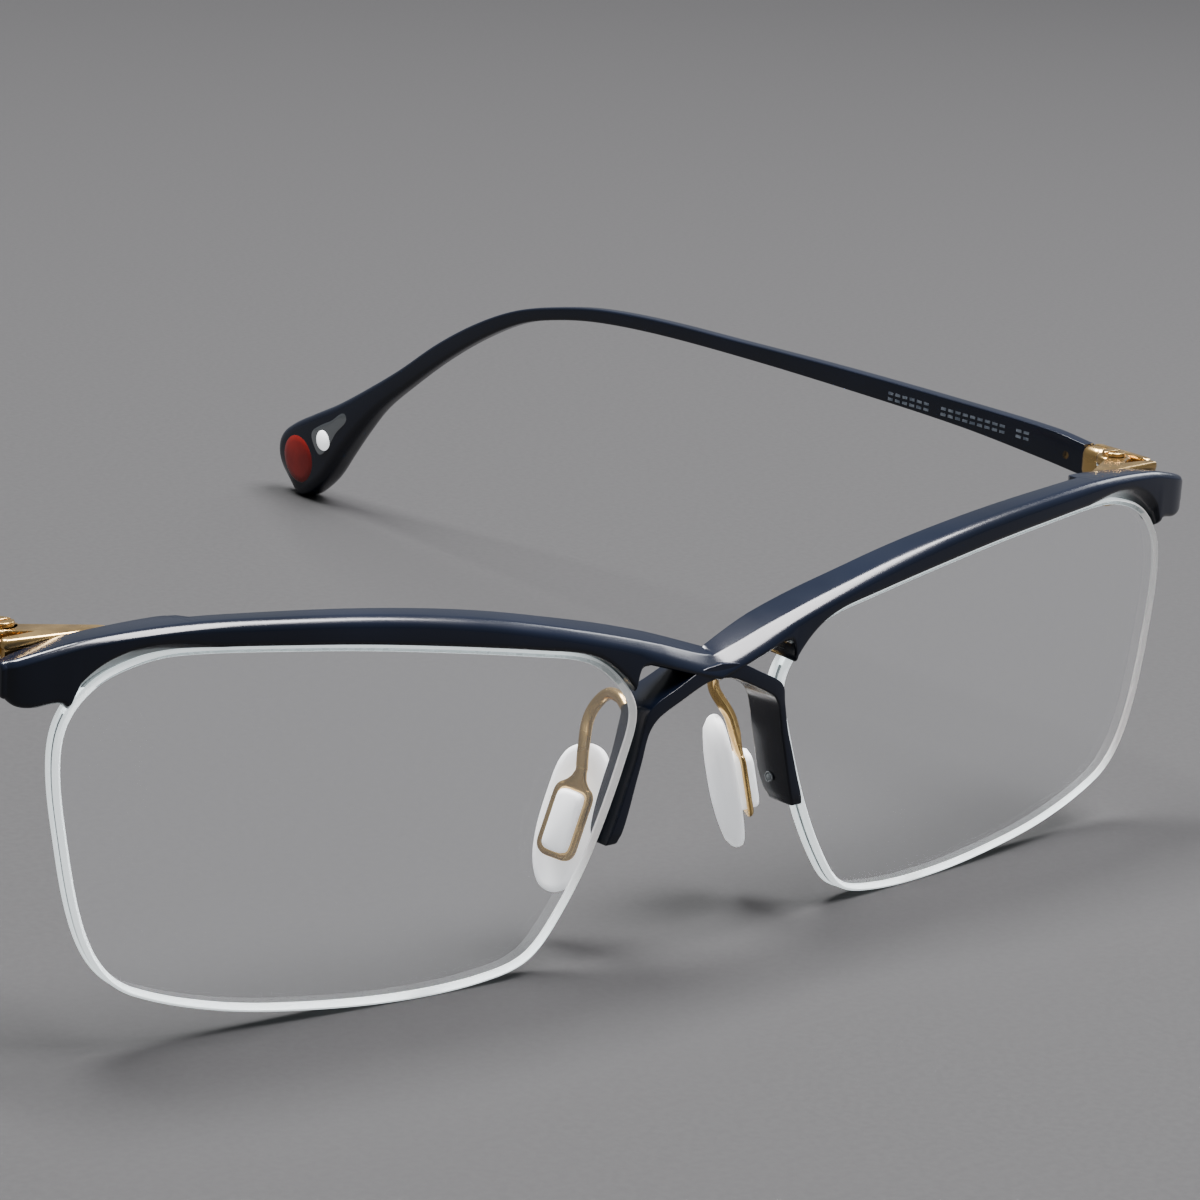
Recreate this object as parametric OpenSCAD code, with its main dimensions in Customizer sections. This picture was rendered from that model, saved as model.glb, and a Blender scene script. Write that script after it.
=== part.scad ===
// Half rim eyeglasses, lying open on a table.
// X runs to the wearer's left side, the front faces -Y, the temples run back along +Y, Z is up.
// The origin is the middle of the footprint, at table height.

/* [Lenses] */
// Width of a lens
lens_w = 56; // [50:0.5:60]
// Height of a lens
lens_h = 33; // [29:0.5:37]
// Thickness of a lens
lens_t = 2; // [1.6:0.1:2.4]
// Radius of the lens curve
lens_r = 400; // [250:10:600]
// Distance between the lenses
bridge_w = 17; // [15:0.5:20]
// Angle at which each lens turns back
wrap = 5.8; // [3:0.1:8]

/* [Front] */
// Gap between a lens edge and the metal around it
edge_gap = 0.35; // [0.2:0.05:0.5]
// Width of the nylon groove in a lens edge
groove_w = 0.6; // [0.5:0.05:0.8]
// Depth of the nylon groove in a lens edge
groove_d = 0.6; // [0.4:0.05:0.7]
// Depth of a nose leg, front to back
leg_depth = 4.2; // [3.8:0.1:4.8]

/* [Nose pads] */
// Height of a nose pad
pad_h = 13.3; // [11:0.1:15]
// Width of a nose pad
pad_w = 5.8; // [5:0.1:7]
// Thickness of the pad's plate
pad_t = 2; // [1.4:0.1:2.2]
// Diameter of the pad arm's wire
arm_d = 1.1; // [0.9:0.1:1.3]

/* [Hinges] */
// Diameter of a hinge eye
eye_d = 3.4; // [3:0.1:3.8]
// Height of one hinge eye
eye_h = 0.9; // [0.8:0.05:1.1]
// Space between two eyes, which holds a washer
eye_gap = 0.25; // [0.2:0.05:0.3]
// Diameter of the hinge screw's shank
screw_d = 1.4; // [1.2:0.1:1.6]
// Radial clearance of the screw in the moving eye
screw_fit = 0.06; // [0.03:0.01:0.09]

/* [Temples] */
// Thickness of a temple blade
blade_t = 1.4; // [1.2:0.1:1.8]
// Thickness of the bulb at the temple tip
bulb_t = 3.6; // [3:0.1:4.2]
// Angle at which each temple opens outward
splay = 0.9; // [0:0.1:2]

/* [Hidden] */
$fn = 48;

navy = [0.09, 0.12, 0.2];
gold = [0.78, 0.62, 0.37];
clear = [0.85, 0.9, 0.92, 0.5];
nylon = [0.92, 0.93, 0.92];
silicone = [0.88, 0.9, 0.9];
silver = [0.8, 0.82, 0.84];
red = [0.5, 0.12, 0.1];

origin_y = 75.2;            // from the bridge back to the middle of the footprint
lens_mid = lens_h / 2 - 0.5; // height of the lens datum line above the table
vertex = -0.9;              // the lens's foremost point, measured from its nasal edge
groove_n = lens_t / 2;      // groove centre, behind the lens's front surface
pin_x = 64.7;
pin_y = 13.4;
hinge_z = 31.1;             // underside of the lowest eye
hinge_h = 3 * eye_h + 2 * eye_gap;
blade_x = 65.4;             // inner face of a temple
blade_y = 18;               // where the painted blade starts
joint_u = 26;               // where the brow bar ends and the end block starts
slack = 0.02;               // keeps fixed pieces from cutting into each other

// ---- curves ----

function unit(a) = a / norm(a);
function left_of(a) = [-a[1], a[0]];
function hermite(a, b, ta, tb, t) =
    a * (2 * t^3 - 3 * t^2 + 1) + ta * (t^3 - 2 * t^2 + t) + b * (3 * t^2 - 2 * t^3) + tb * (t^3 - t^2);
function step_curve(a, b, da, db, t) = hermite(a, b, da * norm(b - a), db * norm(b - a), t);

// Heading at point i of a loop, and at point i of an open line
function loop_dir(p, i) = unit(p[(i + 1) % len(p)] - p[(i + len(p) - 1) % len(p)]);
function line_dir(p, i) = unit(p[min(i + 1, len(p) - 1)] - p[max(i - 1, 0)]);

function smooth_loop(p, n) = [for (i = [0:len(p) - 1], k = [0:n - 1])
    let (j = (i + 1) % len(p)) step_curve(p[i], p[j], loop_dir(p, i), loop_dir(p, j), k / n)];
function smooth_line(p, n) = concat([for (i = [0:len(p) - 2], k = [0:n - 1])
    step_curve(p[i], p[i + 1], line_dir(p, i), line_dir(p, i + 1), k / n)], [p[len(p) - 1]]);

function grow(loop, d) = [for (i = [0:len(loop) - 1]) loop[i] + d * left_of(loop_dir(loop, i))];

// ---- shapes shared by several parts ----

// Edge of the right lens seen from the front, clockwise from its top temporal corner
lens_points = [for (p = [[17.2, 17], [21.2, 16.5], [24.8, 15], [27.3, 12.2], [28, 8.5], [27.3, 2.4],
    [25.7, -4.9], [23.6, -9.1], [20.5, -11.5], [12.4, -14], [3, -15.4], [-6, -16], [-13.5, -15.7],
    [-17.8, -14.6], [-20.6, -11.7], [-24, -5.8], [-27.1, 2.2], [-28, 6.3], [-26.4, 9.2], [-22.8, 11.8],
    [-17, 13.1], [-3.1, 15.2], [7, 16.3]]) [p[0] * lens_w / 56, p[1] * lens_h / 33]];
lens_edge = smooth_loop(lens_points, 4);

// The right lens's own frame, with x outboard along the lens, y back and z up from its datum line
module lens_place() {
    translate([bridge_w / 2, 0, lens_mid])
        rotate([0, 0, wrap])
            translate([lens_w / 2, 0, 0])
                children();
}

module extrude_back(depth = 24) {
    rotate([90, 0, 0])
        linear_extrude(height = depth, center = true)
            children();
}

module lens_prism(d) {
    extrude_back()
        polygon(grow(lens_edge, d));
}

// The space from n0 to n1 behind the lens's front surface
module lens_shell(n0, n1) {
    translate([0, lens_r + vertex, 0])
        difference() {
            sphere(lens_r - n0, $fn = 360);
            sphere(lens_r - n1, $fn = 360);
        }
}

// A band that follows the lens edge from d0 to d1 outside it, as wide as the groove less w
module edge_band(d0, d1, w = 0) {
    intersection() {
        lens_shell(groove_n - groove_w / 2 + w, groove_n + groove_w / 2 - w);
        difference() {
            lens_prism(d1);
            lens_prism(d0);
        }
    }
}

// A slab whose outline is drawn in side view, y back and z up, from x on for t
module side_slab(x, t) {
    translate([x, 0, 0])
        rotate([90, 0, 90])
            linear_extrude(height = t)
                children();
}

module half(side) {
    if (side < 0) mirror([1, 0, 0]) children();
    else children();
}

module rod(a, b, d) {
    run = b - a;
    translate(a)
        rotate([0, acos(run[2] / norm(run)), atan2(run[1], run[0])])
            cylinder(d = d, h = norm(run), $fn = 24);
    translate(b)
        sphere(d = d + slack, $fn = 24);
}

// ---- front ----

bar_top = smooth_line([[-38, 9.5], [-30, 12], [-22.4, 14.1], [-12.1, 16.4], [-2.2, 17.9], [8, 18.8],
    [17, 19.2], [25, 18.8], [29.3, 18], [32.2, 17.2]], 4);
bar_under = [[24, 13], [17, 15.5], [0, 14], [-20, 11], [-26.4, 8.3], [-27.75, 8.3], [-27.8, 9.9], [-28.4, 10.5],
    [-33, 9.7], [-38, 8.1]];
plan_front = smooth_line([[-38, 0.2], [-30, -0.4], [-18, -1], [-4, -1.35], [10, -1.25], [22, -0.65],
    [29, 0.1], [31.3, 0.7], [32.3, 1.6]], 4);
plan_back = smooth_line([[32.3, 2.6], [22, 2.3], [10, 1.8], [-4, 1.7], [-18, 2.3], [-30, 3.1], [-38, 2.6]], 4);

// Outline of the bar and end block in plan, with its height left open
module plan_prism() {
    linear_extrude(height = 60, center = true)
        polygon(concat(plan_front, plan_back));
}

module keep_u(from, to) {
    translate([from, -20, -30])
        cube([to - from, 40, 60]);
}

module bar_half() {
    intersection() {
        translate([0, -20, 0])
            cube([80, 40, 60]);
        lens_place()
            difference() {
                intersection() {
                    extrude_back()
                        polygon(concat(bar_top, bar_under));
                    plan_prism();
                    keep_u(-40, joint_u);
                }
                lens_prism(edge_gap);
                edge_band(0, 0.9);
            }
    }
}

module brow_bar() {
    color(navy) {
        bar_half();
        mirror([1, 0, 0]) bar_half();
    }
}

block_outline = concat([[joint_u + slack, 12]], [for (p = bar_top) if (p[0] > joint_u + slack) p],
    [[32.4, 16.9], [32.4, 14.9], [31.8, 14], [28.4, 13.9], [27.3, 13.4]]);
// Ledge behind the bar that carries the hinge, in plan
ledge_plan = [[15.6, 2.1], [17, 3.9], [22, 3.5], [31.8, 3.3], [31.8, 1.5], [joint_u + slack, 1.5],
    [joint_u + slack, 2.5], [22, 2.45]];
ledge_top = 18.2;
ledge_h = 2.6;
ledge_thin = 1.1;           // its thickness beside the bar

module ledge(h) {
    translate([0, 0, ledge_top - h])
        linear_extrude(height = h)
            polygon(ledge_plan);
}

module end_block(side) {
    color(navy)
        half(side) lens_place()
            difference() {
                union() {
                    intersection() {
                        extrude_back()
                            polygon(block_outline);
                        plan_prism();
                    }
                    ledge(ledge_thin);
                    intersection() {
                        ledge(ledge_h);
                        keep_u(joint_u + slack, 40);
                    }
                }
                lens_prism(edge_gap);
                edge_band(0, 0.9);
            }
}

leg_front = [[0.02, 9.7], [0.02, 8.4], [1.6, 8.2], [6.8, 5.8], [7.8, 4.4], [8.8, 0], [10, -4.2], [10.6, -5],
    [12.6, -5], [12.6, 6], [8.6, 6.3], [7.4, 7.1], [2.8, 9.2], [2, 9.7]];
leg_back = leg_depth - 0.6;
leg_side = [[-0.9, 12], [leg_back, 12], [leg_back, -3], [2.6, -4.7], [1.6, -5], [-0.3, -5], [-0.6, -4.6],
    [-0.6, 6], [-0.9, 8]];

module nose_leg(side) {
    color(navy)
        half(side)
            difference() {
                intersection() {
                    translate([0, 0, lens_mid])
                        extrude_back()
                            polygon(leg_front);
                    translate([0, 0, lens_mid])
                        side_slab(0, 14)
                            polygon(leg_side);
                }
                lens_place() {
                    lens_prism(edge_gap);
                    edge_band(0, 0.9);
                }
                // clears the underside of the brow bar
                bar_half();
            }
}

module lens(side) {
    color(clear)
        half(side) lens_place()
            difference() {
                intersection() {
                    lens_prism(0);
                    lens_shell(0, lens_t);
                }
                edge_band(-groove_d, 1);
            }
}

// The nylon sits in the lens groove and in the metal's groove, on each side of these two corners
cord_region = [[-45, -4], [-24, -4], [-18, 8], [18, 8], [24, 12.8], [40, 12.8], [40, -30], [-45, -30]];
liner_region = [[-45, 14], [-26, 9], [-20, 6], [18, 8], [24, 14.6], [45, 14.6], [45, 30], [-45, 30]];

module nylon_band(side, region, d) {
    color(nylon)
        half(side) lens_place()
            intersection() {
                edge_band(slack - groove_d, d, slack);
                extrude_back()
                    polygon(region);
            }
}

module lens_cord(side) {
    nylon_band(side, cord_region, -0.04);
}

module rim_liner(side) {
    nylon_band(side, liner_region, 0.8);
}

// ---- nose pads ----

// Local x points outboard, y across the pad, z up along it
module pad_place() {
    translate([9.96, 7.24, lens_mid - 4.7])
        rotate([10, -15, -27])
            children();
}

module rounded(w, h, r) {
    for (x = [-1, 1], y = [-1, 1])
        translate([x * (w / 2 - r), y * (h / 2 - r)])
            circle(r);
    square([w, h - 2 * r], center = true);
    square([w - 2 * r, h], center = true);
}

pad_outline = smooth_loop([for (p = [[0.1, 0.5], [0.42, 0.4], [0.5, 0.15], [0.44, -0.25], [0.2, -0.47],
    [-0.1, -0.5], [-0.38, -0.38], [-0.5, -0.1], [-0.42, 0.3], [-0.2, 0.47]]) [p[0] * pad_w, p[1] * pad_h]], 4);
boss_w = 2.4;
boss_h = 5.5;
boss_end = 2.1;             // how far the boss stands out behind the plate
boss_z = -0.25;
ring_x = 0.6;
ring_t = 0.8;
ring_wire = 0.6;
ring_r = 1.1;

// The rectangular boss that grips the arm's ring, from x0 to x1 behind the plate
module pad_boss(x0, x1, gap = 0) {
    side_slab(x0, x1 - x0)
        translate([0, boss_z])
            square([boss_w + gap, boss_h + gap], center = true);
}

module nose_pad(side) {
    color(silicone)
        half(side) pad_place() {
            side_slab(-pad_t, pad_t)
                polygon(pad_outline);
            pad_boss(-0.3, boss_end);
        }
}

// From the back of the nose leg up, over and down to the pad's ring
arm_path = [[7.8, 2.6, 21.8], [7.4, 4.6, 22.5], [6.95, 6.9, 22.1], [7.7, 8, 20.1], [9, 7.1, 17.6], [9.85, 6.8, 14.5]];

module pad_arm(side) {
    color(gold)
        half(side)
            difference() {
                union() {
                    for (i = [0:len(arm_path) - 2])
                        rod(arm_path[i], arm_path[i + 1], arm_d);
                    pad_place()
                        side_slab(ring_x, ring_t)
                            translate([0, boss_z])
                                rounded(boss_w + 2 * ring_wire, boss_h + 2 * ring_wire, ring_r);
                }
                pad_place()
                    pad_boss(-1, 4, slack);
                // the wire starts flat against the nose leg
                translate([4, leg_back - 3, lens_mid])
                    cube([6, 3, 9]);
            }
}

// ---- hinges ----

fork_plan = [[57.6, 8.7], [67.4, 9.5], [67.4, 10.2], [63.2, 10.6], [65.6, 12], [64.6, 13.4], [63.4, 13.2], [57.6, 9.6]];

module hinge_fork(side) {
    gap = eye_h + 2 * eye_gap;
    color(gold)
        half(side)
            difference() {
                translate([0, 0, hinge_z])
                    union() {
                        linear_extrude(height = hinge_h)
                            polygon(fork_plan);
                        translate([pin_x, pin_y, 0])
                            cylinder(d = eye_d, h = hinge_h);
                    }
                // its nasal end is only one plate high
                translate([57, 8, hinge_z - 1])
                    cube([3.6, 3, 1 + eye_h + eye_gap]);
                // slot for the leaf's eye
                translate([pin_x, pin_y, hinge_z + eye_h])
                    cylinder(d = eye_d + 0.5, h = gap);
                translate([pin_x, pin_y - 0.6, hinge_z + eye_h])
                    cube([4, 4, gap]);
                translate([pin_x, pin_y, hinge_z - 1])
                    cylinder(d = screw_d, h = hinge_h + 2);
            }
}

module hinge_screw(side) {
    color(gold)
        half(side)
            translate([pin_x, pin_y, hinge_z]) {
                cylinder(d = screw_d, h = hinge_h);
                translate([0, 0, hinge_h])
                    difference() {
                        cylinder(d = 2.4, h = 0.45);
                        translate([-2, -0.2, 0.2])
                            cube([4, 0.4, 1]);
                    }
            }
}

module hinge_washers(side) {
    color(nylon)
        half(side)
            for (z = [eye_h, 2 * eye_h + eye_gap])
                translate([pin_x, pin_y, hinge_z + z + 0.03])
                    difference() {
                        cylinder(d = eye_d - 0.2, h = eye_gap - 0.06);
                        translate([0, 0, -1])
                            cylinder(d = screw_d, h = 2);
                    }
}

module temple_place() {
    translate([pin_x, pin_y, 0])
        rotate([0, 0, -splay])
            translate([-pin_x, -pin_y, 0])
                children();
}

tongue_t = 0.6;
tongue_end = 22.4;
rivet_y = 20.4;
rivet_d = 0.8;
blade_mid = hinge_z + hinge_h / 2;
cheek_x = pin_x + eye_d / 2 + 0.12;
cheek_t = 0.8;
cheek_y = 10.6;

module hinge_leaf(side) {
    mid_eye_z = hinge_z + eye_h + eye_gap;
    neck_y = 15.45;
    color(gold)
        half(side) temple_place()
            difference() {
                union() {
                    translate([pin_x, pin_y, mid_eye_z])
                        cylinder(d = eye_d, h = eye_h);
                    translate([pin_x, pin_y, mid_eye_z])
                        cube([eye_d / 2, neck_y - pin_y + 0.5, eye_h]);
                    translate([pin_x + 0.2, neck_y, hinge_z])
                        cube([blade_x + blade_t - pin_x - 0.2, blade_y - neck_y, hinge_h]);
                    // cheek that covers the fork from outside
                    translate([cheek_x, cheek_y, hinge_z])
                        cube([cheek_t, blade_y - cheek_y, hinge_h]);
                    translate([blade_x + (blade_t - tongue_t) / 2, blade_y - 0.5, blade_mid - 0.9])
                        cube([tongue_t, tongue_end - blade_y + 0.5, 1.8]);
                }
                translate([pin_x, pin_y, mid_eye_z - 1])
                    cylinder(d = screw_d + 2 * screw_fit, h = eye_h + 2);
                translate([blade_x - 1, rivet_y, blade_mid])
                    rotate([0, 90, 0])
                        cylinder(d = rivet_d, h = blade_t + 2);
            }
}

module leaf_rivet(side) {
    color(gold)
        half(side) temple_place()
            translate([blade_x, rivet_y, blade_mid])
                rotate([0, 90, 0])
                    cylinder(d = rivet_d, h = blade_t);
}

// ---- temples ----

// Side view of a temple: y back, z up
temple_top = smooth_line([[18, 34.3], [23, 34.8], [45, 35], [70, 34.6], [84, 34.3], [93, 33.6], [100, 32.5],
    [107, 30.8], [114, 28.1], [121.3, 24.3], [128.5, 19.6], [136, 15.2]], 3);
temple_end = smooth_line([[136, 15.2], [143.8, 11.1], [149.3, 8.3], [151.3, 5.8], [150.4, 2.9], [147.6, 0.4],
    [146.3, 0], [144.4, 0.7], [141, 3.5], [137.4, 8], [133.4, 12.6]], 4);
temple_under = smooth_line([[133.4, 12.6], [128.2, 16.6], [121, 21.7], [113.9, 26], [106.8, 29.2], [99.8, 31.1],
    [92.9, 32.1], [82.6, 32.7], [69.4, 32.9], [53.6, 32.8], [35.6, 32.4], [24, 31.6], [18, 31.1]], 3);
bulb_profile = concat([[130, 18.3]], temple_end, [[129.2, 15.9]]);
bulb_face = [[137, 13.6], [143.5, 10.4], [148.4, 7.9], [150.2, 5.6], [149.5, 3.5], [147, 1.3], [145.8, 1.4],
    [142, 4.6], [138.3, 9.2], [135.4, 12.4]];
cap_mid = [146.4, 4.8];
cap_tilt = -52;
cap_d = 6.2;
inlay_points = smooth_loop([[138.4, 11.6], [142.4, 9.9], [144, 8.6], [143, 6.8], [142, 6.3], [140.2, 8.2]], 4);
pocket_d = 0.5;

module cap_shape(d) {
    translate(cap_mid)
        rotate(cap_tilt)
            scale([0.9, 1])
                circle(d = d);
}

bulb_x = blade_x + (blade_t - bulb_t) / 2;

module temple(side) {
    color(navy)
        half(side) temple_place()
            difference() {
                union() {
                    side_slab(blade_x, blade_t)
                        polygon(concat(temple_top, temple_end, temple_under));
                    hull() {
                        side_slab(blade_x, blade_t)
                            polygon(bulb_profile);
                        side_slab(bulb_x, bulb_t)
                            polygon(bulb_face);
                    }
                }
                side_slab(bulb_x - 1, 1 + pocket_d)
                    cap_shape(cap_d);
                side_slab(bulb_x - 1, 1 + pocket_d)
                    polygon(inlay_points);
                translate([blade_x + (blade_t - tongue_t) / 2 - slack, blade_y - 1, blade_mid - 0.92])
                    cube([tongue_t + 2 * slack, tongue_end - blade_y + 1.1, 1.84]);
                translate([blade_x - 1, rivet_y, blade_mid])
                    rotate([0, 90, 0])
                        cylinder(d = rivet_d, h = blade_t + 2);
            }
}

module tip_inlay(side) {
    color(silver)
        half(side) temple_place()
            side_slab(bulb_x + 0.15, pocket_d - 0.15)
                polygon(grow(inlay_points, -slack));
}

module tip_cap(side) {
    color(red)
        half(side) temple_place()
            side_slab(bulb_x - 0.1, pocket_d + 0.1)
                cap_shape(cap_d - 2 * slack);
}

module at_origin() {
    translate([0, -origin_y, 0])
        children();
}

at_origin() brow_bar();
at_origin() end_block(1);  // end_block_right
at_origin() end_block(-1);  // end_block_left
at_origin() nose_leg(1);  // nose_leg_right
at_origin() nose_leg(-1);  // nose_leg_left
at_origin() lens(1);  // lens_right
at_origin() lens(-1);  // lens_left
at_origin() lens_cord(1);  // lens_cord_right
at_origin() lens_cord(-1);  // lens_cord_left
at_origin() rim_liner(1);  // rim_liner_right
at_origin() rim_liner(-1);  // rim_liner_left
at_origin() pad_arm(1);  // pad_arm_right
at_origin() pad_arm(-1);  // pad_arm_left
at_origin() nose_pad(1);  // nose_pad_right
at_origin() nose_pad(-1);  // nose_pad_left
at_origin() hinge_fork(1);  // hinge_fork_right
at_origin() hinge_fork(-1);  // hinge_fork_left
at_origin() hinge_screw(1);  // hinge_screw_right
at_origin() hinge_screw(-1);  // hinge_screw_left
at_origin() hinge_washers(1);  // hinge_washers_right
at_origin() hinge_washers(-1);  // hinge_washers_left
at_origin() hinge_leaf(1);  // hinge_leaf_right
at_origin() hinge_leaf(-1);  // hinge_leaf_left
at_origin() leaf_rivet(1);  // leaf_rivet_right
at_origin() leaf_rivet(-1);  // leaf_rivet_left
at_origin() temple(1);  // temple_right
at_origin() temple(-1);  // temple_left
at_origin() tip_inlay(1);  // tip_inlay_right
at_origin() tip_inlay(-1);  // tip_inlay_left
at_origin() tip_cap(1);  // tip_cap_right
at_origin() tip_cap(-1);  // tip_cap_left
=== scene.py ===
"""Half rim eyeglasses lying open on a table: the visible pieces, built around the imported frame."""
import math

import bmesh
import bpy
import numpy as np
from mathutils import Matrix, Vector


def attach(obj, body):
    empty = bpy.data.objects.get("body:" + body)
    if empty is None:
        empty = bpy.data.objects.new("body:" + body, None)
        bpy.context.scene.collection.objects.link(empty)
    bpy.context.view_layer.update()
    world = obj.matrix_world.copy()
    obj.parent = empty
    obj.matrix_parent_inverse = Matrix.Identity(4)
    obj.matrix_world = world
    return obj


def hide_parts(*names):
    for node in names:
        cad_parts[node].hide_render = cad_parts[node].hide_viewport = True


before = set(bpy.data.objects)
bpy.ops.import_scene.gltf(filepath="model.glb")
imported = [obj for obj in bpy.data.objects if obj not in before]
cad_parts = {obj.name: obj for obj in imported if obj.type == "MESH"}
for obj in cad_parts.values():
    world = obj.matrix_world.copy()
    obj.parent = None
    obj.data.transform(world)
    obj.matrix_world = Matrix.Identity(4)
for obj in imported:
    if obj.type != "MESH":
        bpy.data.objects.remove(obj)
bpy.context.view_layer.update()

# ---- shared sizes, in millimetres. Before place() the bridge is at y = 0 and the table at z = 0 ----

MM = 0.001
ORIGIN_Y = 75.2             # from the bridge back to the frame's origin
LENS_MID = 16               # height of the lens's datum line
BRIDGE_W = 17
LENS_W = 56
LENS_R = 400                # radius of the lens's front
LENS_T = 2
VERTEX = -0.9               # the lens's foremost point, from its nasal edge
WRAP = math.radians(5.8)    # each lens's turn backward from the bridge
LENS_BEVEL = 0.22
GROOVE_W = 0.6              # the groove round the lens, which holds the cord
GROOVE_D = 0.62
CORD_D = 0.44
PIN = (64.7, 13.4)          # x and y of the hinge screw
HINGE_Z = 31.1              # underside of the hinge
EYE_D = 3.4
EYE_H = 0.9
EYE_GAP = 0.25
HINGE_H = 3 * EYE_H + 2 * EYE_GAP
HINGE_TOP = HINGE_Z + HINGE_H
MID_EYE_Z = HINGE_Z + EYE_H + EYE_GAP
TOP_EYE_Z = HINGE_Z + 2 * EYE_H + 2 * EYE_GAP
BLADE_X = 65.4              # inner face of the temple
BLADE_T = 1.4
BLADE_MID = BLADE_X + BLADE_T / 2
SPLAY = math.radians(0.9)   # each temple's turn outward about its screw
SIDES = {"right": 1, "left": -1}


# ---- curves and meshes ----

def hermite(a, b, ta, tb, t):
    """A point on the curve from a to b, which leaves along ta and arrives along tb."""
    return (a * (2 * t**3 - 3 * t**2 + 1) + ta * (t**3 - 2 * t**2 + t)
            + b * (3 * t**2 - 2 * t**3) + tb * (t**3 - t**2))


def smooth(points, steps, closed=False):
    """A curve through the points, heading at each one from the point before to the one after."""
    p = np.asarray(points, float)
    count = len(p)
    if closed:
        heading = np.roll(p, -1, 0) - np.roll(p, 1, 0)
    else:
        heading = np.array([p[min(i + 1, count - 1)] - p[max(i - 1, 0)] for i in range(count)])
    heading /= np.linalg.norm(heading, axis=1)[:, None]
    out = []
    for i in range(count if closed else count - 1):
        j = (i + 1) % count
        length = np.linalg.norm(p[j] - p[i])
        for k in range(steps):
            out.append(hermite(p[i], p[j], heading[i] * length, heading[j] * length, k / steps))
    if not closed:
        out.append(p[-1])
    return np.array(out)


def grow(loop, d):
    """A clockwise closed loop, moved outward by d."""
    heading = np.roll(loop, -1, 0) - np.roll(loop, 1, 0)
    heading /= np.linalg.norm(heading, axis=1)[:, None]
    return loop + d * np.stack([-heading[:, 1], heading[:, 0]], 1)


def rounded(corners, radii, steps=4):
    """A polygon with each corner rounded: steps + 1 points a corner."""
    c = np.asarray(corners, float)
    out = []
    for i, r in enumerate(radii):
        back = c[i - 1] - c[i]
        ahead = c[(i + 1) % len(c)] - c[i]
        a = c[i] + back * min(r / np.linalg.norm(back), 0.49)
        b = c[i] + ahead * min(r / np.linalg.norm(ahead), 0.49)
        for k in range(steps + 1):
            t = k / steps
            out.append(a * (1 - t) ** 2 + 2 * c[i] * t * (1 - t) + b * t**2)
    return np.array(out)


def box_ring(w, h, r, steps=4):
    """Rounded rectangle, w across and h high, about the origin."""
    corners = [(-w / 2, -h / 2), (-w / 2, h / 2), (w / 2, h / 2), (w / 2, -h / 2)]
    return rounded(corners, [r] * 4, steps)


def angles_of(count):
    """The angles of equally spaced points round a circle."""
    return np.arange(count) * 2 * math.pi / count


def rise(u, table):
    """The table's value at u, with straight runs between its rows."""
    u0, v0 = zip(*table)
    return float(np.interp(u, u0, v0))


def place(points, side=1):
    """Millimetres here to metres in the frame, mirrored when side is -1."""
    p = np.array(points, float).reshape(-1, 3) - (0, ORIGIN_Y, 0)
    return p * (side * MM, MM, MM)


def skin(rings, ends=True, loop=False):
    """Vertices and faces over rings of equal length. loop joins the last ring to the first."""
    count = len(rings[0])
    verts = [tuple(p) for ring in rings for p in ring]
    faces = []
    for i in range(len(rings) if loop else len(rings) - 1):
        a = i * count
        b = (i + 1) % len(rings) * count
        for k in range(count):
            m = (k + 1) % count
            faces.append((a + k, a + m, b + m, b + k))
    if ends and not loop:
        faces.append(tuple(range(count))[::-1])
        faces.append(tuple(range(len(verts) - count, len(verts))))
    return verts, faces


def join(*parts):
    """Several lots of vertices and faces as one."""
    verts, faces = [], []
    for part_verts, part_faces in parts:
        base = len(verts)
        verts += [tuple(v) for v in part_verts]
        faces += [tuple(base + i for i in f) for f in part_faces]
    return verts, faces


def build(name, shape, side, body, material, replaces=(), sharp=40):
    """One piece from vertices and faces in millimetres, which rides on a CAD body."""
    verts, faces = shape
    mesh = bpy.data.meshes.new(name)
    mesh.from_pydata([tuple(p) for p in place(verts, side)], [], faces)
    bm = bmesh.new()
    bm.from_mesh(mesh)
    bmesh.ops.remove_doubles(bm, verts=bm.verts, dist=1e-7)
    bmesh.ops.recalc_face_normals(bm, faces=bm.faces)
    bm.to_mesh(mesh)
    bm.free()
    mesh.shade_smooth()
    mesh.set_sharp_from_angle(angle=math.radians(sharp))
    piece = bpy.data.objects.new(name, mesh)
    bpy.context.scene.collection.objects.link(piece)
    mesh.materials.append(material)
    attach(piece, body)
    if replaces:
        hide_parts(*replaces)
    return piece


def prism(outline, z0, z1, bevel):
    """An upright slab over a plan outline, with its rims rounded."""
    outline = np.asarray(outline, float)
    middle = outline.mean(0)
    away = outline - middle
    reach = np.linalg.norm(away, axis=1).mean()
    turns = [math.radians(a) for a in (0, 30, 60, 90)]
    levels = [(a, z0 + bevel * (1 - math.cos(a))) for a in turns]
    levels += [(a, z1 - bevel * (1 - math.cos(a))) for a in reversed(turns)]
    rings = []
    for turn, z in levels:
        scale = 1 - bevel * (1 - math.sin(turn)) / reach
        rings.append([(x, y, z) for x, y in middle + away * scale])
    return skin(rings)


def disc(centre, radius, z0, z1, bevel=0.12, count=40):
    """An upright round slab."""
    angles = angles_of(count)
    outline = np.stack([centre[0] + radius * np.cos(angles), centre[1] + radius * np.sin(angles)], 1)
    return prism(outline, z0, z1, bevel)


TUBE_UP = (0.3, 0.2, 0.93)  # any direction that no tube starts along


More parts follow.
